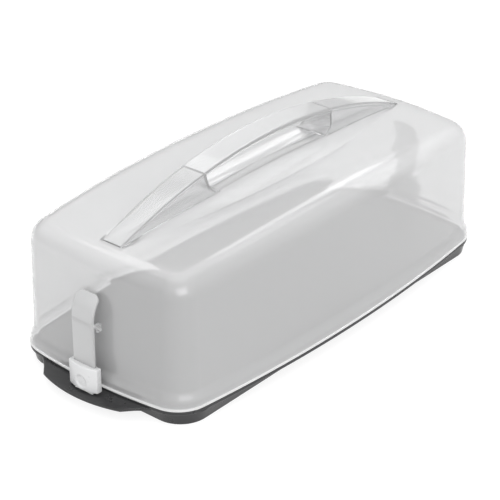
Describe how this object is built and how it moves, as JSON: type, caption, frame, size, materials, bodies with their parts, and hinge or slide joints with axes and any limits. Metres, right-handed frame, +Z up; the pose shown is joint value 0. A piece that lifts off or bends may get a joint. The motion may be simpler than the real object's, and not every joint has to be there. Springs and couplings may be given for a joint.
{
  "type": "cake carrier",
  "caption": "Long rectangular cake carrier: dark tray with grip tabs, clear lift-off hood with an arched carry handle and a snap clip at each end.",
  "frame": {"origin": "middle of the footprint, on the surface that the tray stands on", "axes": "+X along the length, towards the rear clip; +Y across the width; +Z up"},
  "size_m": [0.376, 0.171, 0.1351],
  "materials": {
    "tray": "dark grey polypropylene, satin, fine moulded grain",
    "hood": "clear frosted polypropylene, glossy outside",
    "handle": "clear frosted polypropylene, satin",
    "lever": "milky translucent polypropylene, satin",
    "cap": "off-white plastic, satin"
  },
  "bodies": {
    "tray": {"base_tray": "tray"},
    "hood": {"hood": "hood", "carry_handle": "handle"},
    "front_clip": {"front_clip_lever": "lever", "front_clip_cap": "cap"},
    "rear_clip": {"rear_clip_lever": "lever", "rear_clip_cap": "cap"}
  },
  "joints": [
    {"name": "hood_lift", "type": "slide", "parent": "tray", "child": "hood", "axis": [0, 0, 1], "range_m": [0, 0.14]},
    {"name": "front_clip_pivot", "type": "hinge", "parent": "hood", "child": "front_clip", "pos_m": [-0.17058, 0, 0.0544], "axis": [0, 1, 0], "range_deg": [0, 2.8]},
    {"name": "rear_clip_pivot", "type": "hinge", "parent": "hood", "child": "rear_clip", "pos_m": [0.17058, 0, 0.0544], "axis": [0, -1, 0], "range_deg": [0, 2.8]}
  ]
}
